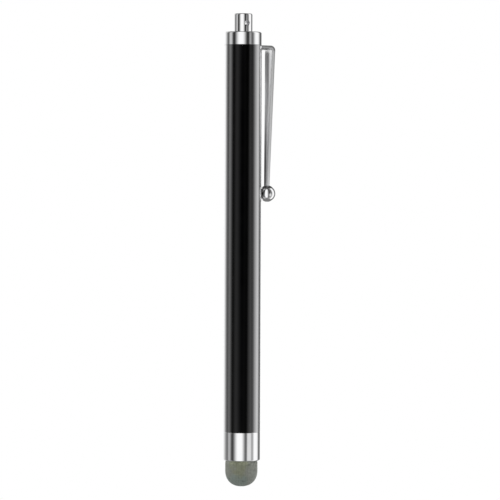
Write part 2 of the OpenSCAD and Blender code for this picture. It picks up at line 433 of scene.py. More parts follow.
def knit():
    # conductive yarn, with painted shade between the stitches, and a soft fuzz
    look = {"Sheen Weight": 0.45, "Sheen Roughness": 0.45, "Sheen Tint": (0.85, 0.85, 0.88, 1),
            "Specular IOR Level": 0.35}
    material, tree, shader = newMaterial("knitYarn", look)
    place = mmCoordinates(tree)
    inputs = {0: place, 1: yarnLook["sideways"]}
    across = addNode(tree, "VectorMath", inputs, operation="DOT_PRODUCT").outputs["Value"]
    level = addNode(tree, "SeparateXYZ", {"Vector": place}).outputs["Z"]
    shift = times(tree, mathNode(tree, "SUBTRACT", noiseNode(tree, place, 0.45), 0.5), 5.0)
    aside, height = plus(tree, across, shift), plus(tree, level, shift)
    # olive down the middle, grey towards the sides, and sea-green low down on the left
    right, left = rampNode(tree, aside, 0.2, 1.8), rampNode(tree, aside, -2.5, -1.4, 0.9, 0.0)
    sides = mathNode(tree, "MAXIMUM", right, left)
    low = times(tree, rampNode(tree, height, 2.0, 3.6, 1.0, 0.0), rampNode(tree, aside, 0.8, 2.2, 1.0, 0.2))
    patches = mixColours(tree, sides, yarnLook["olive"], yarnLook["grey"])
    patches = mixColours(tree, low, patches, yarnLook["seaGreen"])
    fibre = noiseNode(tree, mmCoordinates(tree), 14.0, 3.0)
    tone = times(tree, attributeNode(tree, "stitchTone"), 0.1)
    light = plus(tree, tone, rampNode(tree, fibre, 0.3, 0.7, 0.88, 1.1))
    # painted shade: darker where the stitch depth is low, between the stitches
    shade = times(tree, light, rampNode(tree, attributeNode(tree, "stitchDepth"), 0.0, 1.0, 0.6, 1.05))
    lint = placeGroup(tree, "dust", {"Per mm": 0.6, "Amount": 0.12})["Mask"]
    shade = times(tree, shade, mathNode(tree, "SUBTRACT", 1.0, times(tree, lint, 0.3)))
    # painted light on the yarn just under the ring, lifting the ring's shade, most of all on the left
    belowRing = rampNode(tree, level, 5.35, 6.1, 0.0, 0.9)
    paintedLift = times(tree, belowRing, rampNode(tree, across, 1.4, 3.0, 1.0, 0.1))
    shade = times(tree, shade, plus(tree, paintedLift, 1.0))
    colour = addNode(tree, "VectorMath", {0: patches, 1: shade}, operation="MULTIPLY")
    roughness = rampNode(tree, fibre, 0.3, 0.7, 0.6, 0.85)
    finishShader(tree, shader, colour.outputs["Vector"], roughness, fibre, 0.25, 0.02)
    return material


plate = ((0.97, 0.97, 0.975), (0.955, 0.96, 0.97))
chrome = plating("chromePlate", *plate, 0.05)
pressed = plating("pressedPlate", *plate, 0.05, thin=True)
black = lacquer()
aluminium = turnedMetal("bareAluminium", (0.78, 0.79, 0.8), (0.72, 0.73, 0.75), 0.34, 0.2, 0.3)
drilled = turnedMetal("drilledWall", (0.93, 0.93, 0.93), (0.88, 0.88, 0.89), 0.16, 0.1, 0.1)
# painted shade for one side of the cross hole's mouths
shadedMouth = turnedMetal("paintedShadeMouth", (0.3, 0.3, 0.31), (0.24, 0.24, 0.25), 0.24, 0.15, 0.2)
# painted shade for the seam under the collar
grooved = turnedMetal("paintedShadeGroove", (0.08, 0.08, 0.082), (0.05, 0.05, 0.052), 0.5, 0.15, 0.2)
brass = turnedMetal("turnedBrass", (0.74, 0.56, 0.28), (0.66, 0.49, 0.24), 0.24, 0.2, 0.25)
steel = turnedMetal("zincSteel", (0.66, 0.67, 0.68), (0.58, 0.59, 0.61), 0.3, 0.2, 0.25)
rubber = silicone()
yarn = knit()
print("materials made")


# Barrel: the black tube, bare metal inside, with the clip's notch in its rim
tube = {"edge": 0.03, "rowStep": 4.0, "notchWidth": 4.2, "notchDepth": 0.95, "notchStart": 3.0,
        "notchEnd": 6.0}


def makeBarrel():
    r, bore, foot, rim, edge = pen["radius"], pen["bore"], pen["tubeFoot"], pen["tubeRim"], tube["edge"]
    wall = softCorners([(bore, foot, 0), (r, foot, edge), (r, rim, edge), (bore, rim, 0)], closed=True)
    rows = splitLoop(wall, foot, rim, tube["rowStep"])
    finishes = [black, aluminium]
    barrel = turnedPiece("barrelTube", rows, finishes, sides=192, closed=True)
    half, over = tube["notchWidth"] / 2, 1.0
    carve(barrel, boxTool("notchTool", (tube["notchStart"], -half, rim - tube["notchDepth"]),
                          (tube["notchEnd"], half, rim + over), aluminium))
    for face in barrel.data.polygons:
        middle, facing = face.center, face.normal
        inward = middle.x * facing.x + middle.y * facing.y < -0.5 * math.hypot(middle.x, middle.y)
        face.material_index = finishes.index(aluminium if inward else black)
    steadyShine(barrel)
    settle(barrel, "barrel", "barrel_tube")


# Top cap: the collar, the neck with its cross hole, and the threaded spigot. The hole's wall is bright in
# the middle, with painted shade on one side towards its mouths, out to a share of the lip.
cap = {"top": topOf("top_cap"), "collarTop": 108.6, "collarEdge": 0.3, "seam": 0.03, "seamEdge": 0.02,
       "neckRadius": 2.25, "neckEdge": 0.3, "neckFoot": 0.08, "rowStep": 0.12,
       "spigotFoot": footOf("top_cap"), "spigotLead": 0.5, "threadTop": 104.0, "threadDepth": 0.2,
       "holeHeight": 110.75, "holeRadius": 0.55, "holeLip": 0.22, "shadeDepth": 1.1, "shadeReach": 0.8,
       "shadeSlope": 0.6}


def makeTopCap():
    r, rim, spigot, neck = pen["radius"], pen["tubeRim"], pen["spigotRadius"], cap["neckRadius"]
    foot, lead, collar = cap["spigotFoot"], cap["spigotLead"], cap["collarTop"]
    corners = [(0, foot, 0), (spigot - lead, foot, 0), (spigot, foot + lead, 0), (spigot, rim, 0),
               (r - cap["seam"], rim, 0), (r, rim + cap["seam"], cap["seamEdge"]),
               (r, collar, cap["collarEdge"]), (neck, collar, cap["neckFoot"]),
               (neck, cap["top"], cap["neckEdge"]), (0, cap["top"], 0)]
    path = splitRows(softCorners(corners), foot, rim, pen["threadPitch"] / pen["threadRows"])
    path = splitRows(path, collar, cap["top"], cap["rowStep"])
    thread = threadShape(foot, cap["threadTop"], pen["threadPitch"], cap["threadDepth"], spigot)
    finishes = [chrome, drilled, grooved, shadedMouth]
    topCap = turnedPiece("topCap", path, finishes, sides=144, shape=thread)
    over = 0.5
    hole, lip, reach = cap["holeRadius"], cap["holeRadius"] + cap["holeLip"] + over, neck + over
    mouth = neck - cap["holeLip"]
    deep = mouth - cap["shadeDepth"]
    drill = [(0, -reach), (lip, -reach), (hole, -mouth), (hole, -deep), (hole, deep), (hole, mouth),
             (lip, reach), (0, reach)]
    points, faces = turnedFaces(drill, sides=48)
    points = [(x, -z, y + cap["holeHeight"]) for x, y, z in points]
    carve(topCap, meshPiece("drillTool", points, faces, [chrome]))
    for face in topCap.data.polygons:
        middle = face.center / mm
        fromHole = middle.z - cap["holeHeight"]
        # painted shade on the seam under the collar
        if rim < middle.z < rim + cap["seam"]:
            face.material_index = finishes.index(grooved)
        elif math.hypot(middle.x, fromHole) < hole + cap["holeLip"] * cap["shadeReach"]:
            if abs(middle.y) < deep:
                face.material_index = finishes.index(drilled)
            # painted shade on one side of the hole's mouths
            elif middle.x > abs(fromHole) * cap["shadeSlope"]:
                face.material_index = finishes.index(shadedMouth)
    steadyShine(topCap)
    settle(topCap, "barrel", "top_cap")


# Cap bush: brass, with straight knurls where it is pressed into the tube
bush = {"knurls": 60, "knurlDepth": 0.08, "plainBand": 1.0, "lead": 0.2}


def makeCapBush():
    foot, top = footOf("cap_bush"), topOf("cap_bush")
    radius, bore, lead = pen["bore"], pen["spigotRadius"], bush["lead"]
    corners = [(bore, foot, lead), (radius, foot, lead), (radius, top, lead), (bore, top, lead)]
    path = softCorners(corners, 3, closed=True)
    rows = splitLoop(path, foot, top, pen["threadPitch"] / pen["threadRows"])
    thread = threadShape(cap["spigotFoot"], cap["threadTop"], pen["threadPitch"], cap["threadDepth"], bore,
                         inner=True)

    def shape(angle, r, z):
        if abs(r - radius) < onSurface and foot + lead < z < top - lead - bush["plainBand"]:
            wave = abs(math.sin(bush["knurls"] * angle / 2))
            return r - bush["knurlDepth"] * (1 - wave), z
        return thread(angle, r, z)

    capBush = turnedPiece("capBush", rows, [brass], sides=240, shape=shape, closed=True)
    steadyShine(capBush)
    settle(capBush, "barrel", "cap_bush")


# Clip: one sprung strip with an eye round the spigot, a bend and an arm that tapers to the ball. Its inner
# side is satin and carries painted shade: before the bend, after it, near the ball, and along a crease. Each
# pair says
# where a change starts and ends: in mm from the bend's start (turning) or from its end (forming), or as
# shares of the arm.
clip = {"thickness": 0.95, "rootWidth": 4.1, "endWidth": 1.05, "startX": 3.1, "bendX": 6.5, "bendZ": 104.35,
        "bendRadius": 0.2, "lean": 1.161, "armLength": 33.86, "endGap": 0.02, "tongue": 1.6,
        "eyeOuter": 3.95, "eyeInner": 2.55, "rootEdge": 0.22, "edge": 0.14, "slopeTop": 0.176,
        "slopeLow": 0.46, "hollowBend": 0.35, "crown": 0.06, "swell": 0.14, "satinShadeTop": 0.75,
        "satinShadeBend": 0.13, "satinShadeLow": 0.6, "satinShadeCrease": 0.42, "creaseAside": 0.2, "creaseWidth": 0.27,
        "turning": (-1.0, -0.3), "forming": (-0.5, 0.8), "swelling": (0.3, 1.0), "darkening": (0.4, 1.1),
        "creaseEnding": (0.38, 0.6), "shoulder": 1.0, "eyeInnerEdge": 0.08, "eyeOuterEdge": 0.12,
        "stations": {"root": 12, "bend": 28, "shoulder": 12, "arm": 130}}


def clipLengths():
    # along the strip's middle line: where the bend starts and ends; and the bend's radius there
    straight, middle = clip["bendX"] - clip["startX"], clip["bendRadius"] + clip["thickness"] / 2
    return straight, straight + middle * (math.pi / 2 + math.radians(clip["lean"])), middle


def clipStation(distance):
    # place, direction and outward side of the middle line: from the eye, round the bend, then down the arm
    straight, bendEnd, middle = clipLengths()
    if distance < straight:
        place = Vector((clip["startX"] + distance, 0, clip["bendZ"] + middle))
        return place, Vector((1, 0, 0)), Vector((0, 0, 1))
    turned = (min(distance, bendEnd) - straight) / middle
    outward = Vector((math.sin(turned), 0, math.cos(turned)))
    along = Vector((math.cos(turned), 0, -math.sin(turned)))
    place = Vector((clip["bendX"], 0, clip["bendZ"])) + outward * middle
    return place + along * max(distance - bendEnd, 0), along, outward


def clipSection(width, hollow, crown, edge, swell, count=10, edgeSteps=6):
    # closed outline of (across, outward): the outer face, an edge, the inner face, the other edge
    half, thick, bend = width / 2, clip["thickness"] / 2, clip["hollowBend"]
    outline = []
    for side in (1, -1):
        for k in range(2 * count + 1):
            v = side * (half - edge) * (k / count - 1)
            # the inner face is hollowed along its middle, in a rounded V
            dip = 1 - (math.hypot(v / half, bend) - bend) / (math.hypot(1, bend) - bend)
            rise = thick - crown * (v / half) ** 2 if side > 0 else thick + swell - hollow * dip
            outline.append((v, side * rise))
        for k in range(1, edgeSteps):
            angle = math.pi / 2 * (1 - 2 * k / edgeSteps)
            v = side * (half - edge + edge * math.cos(angle))
            rise = thick - edge - crown if side * angle > 0 else thick - edge + swell
            lift = math.copysign(rise, angle) if abs(angle) > samePlace else 0
            outline.append((v, side * lift + side * edge * math.sin(angle)))
    return outline


def makeClip():
    straight, bendEnd, _ = clipLengths()
    total = bendEnd + clip["armLength"] - clip["endGap"]
    shoulder, counts = bendEnd + clip["shoulder"], clip["stations"]

    def change(first, last, share):
        return clip[first] + (clip[last] - clip[first]) * share

    stops = [*np.linspace(0, straight, counts["root"]), *np.linspace(straight, bendEnd, counts["bend"])[1:],
             *np.linspace(bendEnd, shoulder, counts["shoulder"])[1:],
             *np.linspace(shoulder, total, counts["arm"])[1:]]
    points, rings, satinAndShade = [], [], []
    for distance in stops:
        place, _, outward = clipStation(distance)
        down = max(distance - bendEnd, 0) / (clip["armLength"] - clip["tongue"])
        formed = smoothStep(distance - bendEnd, *clip["forming"])
        width = change("rootWidth", "endWidth", down)
        slope = change("slopeTop", "slopeLow", min(down, 1))
        edge = change("rootEdge", "edge", formed)
        swell = clip["swell"] * smoothStep(down, *clip["swelling"])
        shade = change("satinShadeTop", "satinShadeBend", smoothStep(distance - straight, *clip["turning"]))
        shade += (clip["satinShadeLow"] - clip["satinShadeBend"]) * smoothStep(down, *clip["darkening"])
        # the upper arm has the most painted shade along a line a little to one side of its hollow's middle
        creased = clip["satinShadeCrease"] * formed * (1 - smoothStep(down, *clip["creaseEnding"]))
        ring = []
        for v, lift in clipSection(width, slope * width / 2 * formed, clip["crown"] * formed, edge, swell):
            inside = lift < -clip["thickness"] / 4 - edge / 2 or abs(v) < width / 2 - edge and lift < 0
            crease = 1 - smoothStep(abs(v / width - clip["creaseAside"]), 0.0, clip["creaseWidth"])
            # painted shade, with satin, on the inner side only
            satinAndShade.append((shade + creased * crease) * inside)
            ring.append(len(points))
            points.append(tuple(place + outward * lift + Vector((0, v, 0))))
        rings.append(ring)
    sides = len(rings[0])
    faces = [(a[i], b[i], b[(i + 1) % sides], a[(i + 1) % sides])
             for a, b in zip(rings, rings[1:]) for i in range(sides)]
    faces += [tuple(rings[0]), tuple(reversed(rings[-1]))]
    strip = meshPiece("clipStrip", points, faces, [pressed])
    strip.data.attributes.new("satinAndShade", "FLOAT", "POINT").data.foreach_set("value", satinAndShade)
    low, high = pen["tubeRim"] - clip["thickness"], pen["tubeRim"]
    inner, outer = clip["eyeInner"], clip["eyeOuter"]
    innerEdge, outerEdge = clip["eyeInnerEdge"], clip["eyeOuterEdge"]
    eye = softCorners([(inner, low, innerEdge), (outer, low, outerEdge), (outer, high, outerEdge),
                       (inner, high, innerEdge)], 3, closed=True)
    carve(strip, turnedPiece("eyeTool", eye, [pressed], sides=96, closed=True), "UNION")
    steadyShine(strip)
    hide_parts("clip_root", "clip_arm")
    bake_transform(strip)


# Clip ball: turned, with the slot that the arm's end sits in
ball = {"x": 6.525, "z": 70.1, "radius": 1.999, "heel": 0.45, "heelDepth": 0.02, "heelEdge": 0.05,
        "slotRoom": 0.03, "slotLead": 1.2}


def makeClipBall():
    r, heel, room = ball["radius"], ball["heel"], ball["slotRoom"]
    angles = np.linspace(math.asin(heel / r), math.pi - 0.001, 64)
    arc = [(r * math.sin(angle), -r * math.cos(angle)) for angle in angles]
    heelZ = arc[0][1] + ball["heelDepth"]
    path = [(0, heelZ), (heel - ball["heelEdge"], heelZ)] + arc[:-1] + [(0, r)]
    points, faces = turnedFaces(path, 96)
    points = [(x + ball["x"], y, z + ball["z"]) for x, y, z in points]
    clipBall = meshPiece("clipBall", points, faces, [chrome])
    end = clipLengths()[1] + clip["armLength"]
    half, outer = clip["endWidth"] / 2 + room, clip["thickness"] / 2 + room
    inner = -outer - clip["swell"]
    slot = []
    for distance in (end - clip["tongue"] - ball["slotLead"], end + room):
        place, _, outward = clipStation(distance)
        slot += [tuple(place + outward * a + Vector((0, half * b, 0)))
                 for a, b in ((inner, -1), (inner, 1), (outer, 1), (outer, -1))]
    faces = [(3, 2, 1, 0), (4, 5, 6, 7)] + [(k, (k + 1) % 4, (k + 1) % 4 + 4, k + 4) for k in range(4)]
    carve(clipBall, meshPiece("slotTool", slot, faces, [chrome]))
    settle(clipBall, "clip", "clip_ball")


# Nose ring: the chrome ring, its floor and the hollow spigot in the tube
nose = {"edge": 0.26, "seam": 0.04, "mouth": 3.95, "floor": 10.3, "floorTop": 12.1, "hollow": 3.3}


def makeNoseRing():
    r, bore, hole, top = pen["radius"], pen["bore"], pen["shankRadius"], pen["tubeFoot"]
    foot, spigotTop = footOf("nose_ring"), topOf("nose_ring")
    mouth, hollow, floor, floorTop = nose["mouth"], nose["hollow"], nose["floor"], nose["floorTop"]
    corners = [(mouth, foot, 0.06), (r, foot, nose["edge"]), (r, top - nose["seam"], 0.03),
               (r - nose["seam"], top, 0), (bore, top, 0), (bore, spigotTop, 0.25),
               (hollow, spigotTop, 0.1), (hollow, floorTop, 0.15), (hole, floorTop, 0.05),
               (hole, floor, 0.05), (mouth, floor, 0.2)]
    ring = turnedPiece("noseRing", softCorners(corners, closed=True), [chrome], sides=144, closed=True)
    steadyShine(ring)
    settle(ring, "barrel", "nose_ring")


# Tip stem: a brass flange on a boss, with a threaded shank through the floor
stem = {"bossFoot": footOf("tip_stem"), "bossRadius": 1.7, "bossEdge": 0.3, "flangeFoot": 9.5,
        "flangeRadius": 3.0, "flangeTop": 10.3, "top": topOf("tip_stem"), "threadLead": 0.6,
        "threadFade": 0.3, "threadDepth": 0.16, "slotWidth": 0.5, "slotDepth": 0.8}


def shankThread(inner=False):
    return threadShape(nose["floorTop"] - stem["threadLead"], stem["top"], pen["shankPitch"],
                       stem["threadDepth"], pen["shankRadius"], stem["threadFade"], inner)


def makeTipStem():
    shank, boss, flange = pen["shankRadius"], stem["bossRadius"], stem["flangeRadius"]
    foot, edge, low, high = stem["bossFoot"], stem["bossEdge"], stem["flangeFoot"], stem["flangeTop"]
    top = stem["top"]
    corners = [(0, foot, 0), (boss - edge, foot, 0), (boss, foot + edge, 0), (boss, low, 0),
               (flange, low, 0.06), (flange, high, 0.06), (shank, high, 0), (shank, top, 0.15), (0, top, 0)]
    path = splitRows(softCorners(corners), high, top, pen["shankPitch"] / pen["threadRows"])
    tipStem = turnedPiece("tipStem", path, [brass], sides=96, shape=shankThread())
    half, across, over = stem["slotWidth"] / 2, 2.0, 1.4
    slotFoot = top - stem["slotDepth"]
    carve(tipStem, boxTool("driveTool", (-across, -half, slotFoot), (across, half, top + over), brass))
    steadyShine(tipStem)
    settle(tipStem, "barrel", "tip_stem")


# Stem nut: hexagonal, its corners turned down above and below
nut = {"flats": 5.0, "cornerCut": 0.35, "cornerSlope": 1.2}


def makeStemNut():
    foot, top, bore, cut = footOf("stem_nut"), topOf("stem_nut"), pen["shankRadius"], nut["cornerCut"]
    sixth = math.pi / 3
    corner = nut["flats"] / 2 / math.cos(sixth / 2)
    path = [(bore, foot)] + [(corner, z) for z in (foot, foot + cut, top - cut, top)] + [(bore, top)]
    rows = splitLoop(path, foot, top, pen["shankPitch"] / pen["threadRows"])
    thread = shankThread(inner=True)

    def shape(angle, r, z):
        if abs(r - corner) > onSurface:
            return thread(angle, r, z)
        turn = (angle + sixth / 2) % sixth - sixth / 2
        hexagon = nut["flats"] / 2 / math.cos(abs(sixth / 2 - abs(turn)))
        nearEnd = max(foot + cut - z, z - top + cut, 0)
        return min(hexagon, corner - nearEnd * nut["cornerSlope"]), z

    stemNut = turnedPiece("stemNut", rows, [steel], sides=96, shape=shape, closed=True, sharpAngle=28)
    settle(stemNut, "barrel", "stem_nut")


# The tip: outline of its layers from the top of the hem down to the pole, drawn in by a depth
tip = {"radius": reachOf("tip_sock"), "waistZ": 5.7, "waistRadius": 3.72, "waistHeight": 0.5, "hemZ": 7.0,
       "hemRadius": 3.6, "hemStep": 0.3, "top": topOf("tip_sock")}


def tipOutline(depth, top, turns=40, fullness=2.0):
    # fullness 2 gives a round dome; more makes it squarer
    r, hem, waist = tip["radius"] - depth, tip["hemRadius"] - depth, tip["waistRadius"] - depth
    path = [(hem, top), (hem, tip["hemZ"] + tip["hemStep"]), (waist, tip["hemZ"]),
            (waist, tip["waistZ"] + tip["waistHeight"]), (r, tip["waistZ"])]
    for k in range(turns + 1):
        angle = math.pi / 2 * k / turns
        across, down = math.cos(angle), math.sin(angle)
        reach = r / (across ** fullness + down ** fullness) ** (1 / fullness)
        path.append((reach * across, tip["radius"] - reach * down))
    return path


# Silicone core: a hollow bulb bonded to the stem
core = {"gap": 0.52, "wall": 0.9, "top": topOf("tip_core"), "keep": 0.9263}


def makeTipCore():
    foot, boss, edge = stem["bossFoot"], stem["bossRadius"], stem["bossEdge"]
    outer = tipOutline(core["gap"], core["top"])[::-1]
    inner = [(r, z) for r, z in tipOutline(core["gap"] + core["wall"], foot) if z < foot - samePlace]
    seat = [(boss, core["top"]), (boss, foot + edge), (boss - edge, foot), (inner[0][0], foot)]
    path = [(0.0, outer[0][1])] + outer[1:] + seat + inner[:-1] + [(0.0, inner[-1][1])]
    tipCore = turnedPiece("tipCore", path, [rubber], sides=96)
    settle(tipCore, "barrel", "tip_core")
    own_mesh(tipCore)


# Hem band: a thin steel strap, pinched by the crimping tool's jaws
band = {"inner": 3.6, "thickness": 0.25, "innerEdge": 0.05, "outerEdge": 0.08, "jaws": 12, "pinch": 0.05,
        "pinchStart": 0.1, "pinchFull": 0.4, "rowStep": 0.1, "skin": 0.02}


def makeHemBand():
    foot, top = footOf("sock_band"), topOf("sock_band")
    inner, outer = band["inner"], band["inner"] + band["thickness"]
    path = softCorners([(inner, foot, band["innerEdge"]), (outer, foot, band["outerEdge"]),
                        (outer, top, band["outerEdge"]), (inner, top, band["innerEdge"])], 4, closed=True)

    def shape(angle, r, z):
        if r <= outer - band["skin"]:
            return r, z
        jaw = max(math.cos(band["jaws"] * angle), 0) ** 2
        start, full = band["pinchStart"], band["pinchFull"]
        middle = smoothStep(z - foot, start, full) * smoothStep(top - z, start, full)
        return r - band["pinch"] * jaw * middle, z

    rows = splitLoop(path, foot, top, band["rowStep"])
    hemBand = turnedPiece("hemBand", rows, [steel], sides=192, shape=shape, closed=True)
    settle(hemBand, "tip", "sock_band")


# Knitted sock: rows of V stitches in eight gores that close towards the pole. Gathers are (strength, count,
# offset) of waves round the pen, and dark spots are (degrees about the axis, height, half width), darkened
# like the gaps between stitches.
sock = {"wales": 56, "gores": 8, "column": 8, "course": 0.38, "rowStep": 0.06, "relief": 0.07, "proud": 0.35,
        "fullness": 2.25, "wall": 0.38, "turn": 22.5, "poleFade": 0.5, "seed": 7, "tones": 997,
        "toneStep": 31, "legStart": 0.06, "legSlant": 0.36, "legHalf": 0.2, "legLength": 1.35,
        "legEnds": 0.6, "gatherDepth": 0.035, "gatherLift": 0.3, "gatherSpread": 0.8, "spotSquash": 0.55,
        "spotCore": 1.4,
        "gathers": [(1.0, 9, 0.7), (0.8, 14, 2.1), (0.6, 23, 4.0)],
        "darkSpots": [(-133, 5.8, 0.4), (-113, 5.8, 0.3), (-85, 5.5, 0.4), (-61, 4.1, 0.3), (-107, 1.5, 0.4),
                  (20, 4.6, 0.3), (75, 2.4, 0.25), (150, 4.2, 0.3), (-170, 2.0, 0.25)]}


def stitchHeight(across, along):
    # across is -0.5 to 0.5 in a wale, along 0 to 1 in a course; each stitch has two slanted legs
    height = np.zeros_like(across)
    for shift in (0.0, 1.0):
        place = along + shift
        centre = sock["legStart"] + sock["legSlant"] * place
        body = np.clip(1 - ((np.abs(across) - centre) / sock["legHalf"]) ** 2, 0, 1) ** 0.5
        length = np.clip(place / sock["legLength"], 0, 1)
        height = np.maximum(height, body * np.clip(np.sin(math.pi * length), 0, 1) ** sock["legEnds"])
    return height


def knitPattern(distance, radius, height, angle):
    # every point's lift, from 0 between the stitches to 1, and its own stitch's tone
    gore = 2 * math.pi / sock["gores"]
    fromSeam = angle - math.radians(sock["turn"]) + gore / 2
    inGore = fromSeam % gore - gore / 2
    stitchWidth = 2 * math.pi * tip["radius"] / sock["wales"]
    # the straight part keeps its count of wales; on the dome they run on parallel and the gores cut them
    reach = np.where(height > tip["radius"], tip["radius"], radius)
    across = inGore[None, :] * reach[:, None] / stitchWidth
    wale = np.floor(across + 0.5)
    course = distance / sock["course"]
    row = np.floor(course)
    along = np.repeat((course - row)[:, None], len(angle), axis=1)
    lift = stitchHeight(across - wale, 1 - along)
    rng = np.random.default_rng(sock["seed"])
    tones = rng.uniform(-1, 1, (int(row.max()) + 1, sock["tones"]))
    sector = np.floor(fromSeam / gore).astype(int)
    column = wale.astype(int) + sock["toneStep"] * sector[None, :]
    return lift, tones[row.astype(int)[:, None], column % sock["tones"]]


def darkSpotMask(radius, height, angle):
    spotted = np.zeros((len(radius), len(angle)))
    for degrees, level, half in sock["darkSpots"]:
        turn = (angle - math.radians(degrees) + math.pi) % (2 * math.pi) - math.pi
        across = turn[None, :] * radius[:, None] / half
        apart = np.hypot(across, (height[:, None] - level) / (half * sock["spotSquash"]))
        spotted = np.maximum(spotted, np.clip(sock["spotCore"] - apart, 0, 1))
    return spotted


def sockFaces(rows, outer, columns):
    # the first outer rows are the outside, down to its pole; the rest line it, from the inner pole upwards
    pole, innerPole = rows * columns, rows * columns + 1
    here = np.arange(columns)
    there = (here + 1) % columns
    faces = []
    for k in range(rows):
        first, second, nextRow = k * columns + there, k * columns + here, (k + 1) % rows * columns
        if k == outer - 1:
            faces += [(a, b, pole) for a, b in zip(first.tolist(), second.tolist())]
            continue
        if k == outer:
            faces += [(a, b, innerPole) for a, b in zip(second.tolist(), first.tolist())]
        faces += np.stack([first, second, nextRow + here, nextRow + there], axis=1).tolist()
    return faces


def makeSock():
    outline = np.array(tipOutline(0.0, tip["top"], 80, sock["fullness"]))
    travel = np.concatenate([[0], np.cumsum(np.hypot(*np.diff(outline, axis=0).T))])
    distance = np.linspace(0, travel[-1], int(travel[-1] / sock["rowStep"]))
    radius, height = (np.interp(distance, travel, outline[:, k]) for k in (0, 1))
    slopeR, slopeZ = np.gradient(radius, distance), np.gradient(height, distance)
    columns = sock["wales"] * sock["column"]
    angle = 2 * math.pi * np.arange(columns) / columns
    lift, tone = knitPattern(distance, radius, height, angle)
    # shallow gathers where the fabric enters the ring
    near = np.exp(-((height - tip["waistZ"] - sock["gatherLift"]) / sock["gatherSpread"]) ** 2)
    wave = sum(strength * np.sin(count * angle + offset) for strength, count, offset in sock["gathers"])
    gather = np.minimum(sock["gatherDepth"] * near[:, None] * wave[None, :], 0)
    fade = np.clip(radius / sock["poleFade"], 0, 1)[:, None]
    proud = np.interp(height, [tip["waistZ"], tip["hemZ"]], [sock["proud"], 0])[:, None]
    inset = (lift - 1.0 + proud) * sock["relief"] * fade + gather
    outR = radius[:, None] - inset * slopeZ[:, None]
    outZ = height[:, None] + inset * slopeR[:, None]
    inner = np.array(tipOutline(sock["wall"], tip["top"], 28)[::-1])
    innerR, innerZ = (np.repeat(inner[1:, k:k + 1], columns, axis=1) for k in (0, 1))
    allR, allZ = np.vstack([outR[:-1], innerR]), np.vstack([outZ[:-1], innerZ])
    points = np.stack([allR * np.cos(angle), allR * np.sin(angle), allZ], axis=-1).reshape(-1, 3)
    points = np.vstack([points, [[0, 0, outZ[-1, 0]], [0, 0, inner[0][1]]]])
    faces = sockFaces(len(allR), len(outR) - 1, columns)
    tipSock = meshPiece("tipSock", points, faces, [yarn], sharpAngle=180)
    # painted shade: low between the stitches and at the dark spots
    depth = lift * (1 - darkSpotMask(radius, height, angle))
    for name, values, elsewhere in (("stitchDepth", depth, 1), ("stitchTone", tone, 0)):
        whole = np.full(len(points), elsewhere, np.float32)
        whole[:(len(outR) - 1) * columns] = values[:-1].ravel()
        tipSock.data.attributes.new(name, "FLOAT", "POINT").data.foreach_set("value", whole)
    settle(tipSock, "tip", "tip_sock")


for stage in (makeBarrel, makeTopCap, makeCapBush, makeClip, makeClipBall, makeNoseRing, makeTipStem,
              makeStemNut, makeTipCore, makeHemBand, makeSock):
    stage()
    print("built", stage.__name__[4:])


# Studio. The camera's azimuth is from -Y towards +X, and an angle is from the camera round the pen, plus to
# the camera's right, all in degrees. Lengths are in metres.
studio = {"azimuth": -25.0, "distance": 0.625, "cameraHeight": 0.07, "aimHeight": 0.0566,
          "aimAside": 0.00186, "roll": 0.24, "imageWidth": 0.1196, "sensorWidth": 36.0, "lampAim": 0.056,
          "ambient": 0.55, "floorHeight": -0.8, "floorSize": 12.0, "floorGlow": 1.09, "floorShare": 0.85}
# Upright cards round the pen, each nearer to it by the gap than the one before. A pair of values holds at
# the height that the nose ring mirrors and the one that the cap mirrors. Level 0 is black and 1 is white;
# startSoft and endSoft are the widths of the faded edges.
wallPlan = {"radius": 0.5, "gap": 0.008, "step": 1.5, "foot": -0.78, "top": 1.1, "fade": 0.06,
            "ringHeight": -0.04, "capHeight": 0.137}
walls = {
    "leftEdgeFlag": {"start": (-152, -144), "startSoft": (54, 46), "end": -82, "endSoft": 6,
                     "level": (0.17, 0.12)},
    "leftStrip": {"start": (-94, -96), "startSoft": 10, "end": -60, "endSoft": 8, "level": (0.43, 0.58)},
    "leftFlag": {"start": (-78, -77), "startSoft": 17, "end": -20, "endSoft": (36, 34),
                 "level": (0.055, 0.03)},
    "rightFlag": {"start": (-2, -4), "startSoft": (28, 31), "end": 50, "endSoft": 10, "level": (0.13, 0.03)},
    "rightShade": {"start": 38, "startSoft": 12, "end": (87, 88), "endSoft": (16, 28),
                   "level": (0.38, 0.12)},
    "rightPatch": {"start": (29, 34), "startSoft": 11, "end": (66, 56), "endSoft": 9, "level": (0.74, 0.36),
                   "foot": -0.2, "top": 0.2},
    "rightEdgeFlag": {"start": (105, 102), "startSoft": 28, "end": 165, "endSoft": 20, "level": 0.11},
}
# Level cards over and under the pen, oval, with their middle behind it
lids = {
    "ceilingFlag": {"height": 0.5, "across": 0.42, "along": 1.1, "behind": 0.75, "level": 0.05, "soft": 0.2},
    "floorFlag": {"height": -0.4, "across": 0.38, "along": 0.9, "behind": 0.5, "level": 0.2, "soft": 0.2},
}
lamps = {
    "keyLamp": {"angle": 95, "lift": 0.15, "distance": 0.7, "size": (0.3, 0.9), "power": 1.6},
    "fillLamp": {"angle": -80, "lift": 0.2, "distance": 0.7, "size": (0.4, 0.9), "power": 1.0},
    "frontLamp": {"angle": -10, "lift": 0.45, "distance": 0.8, "size": (0.5, 0.5), "power": 0.8},
}


def aroundPen(angle, distance, height):
    azimuth = math.radians(studio["azimuth"] + angle)
    return Vector((distance * math.sin(azimuth), -distance * math.cos(azimuth), height))


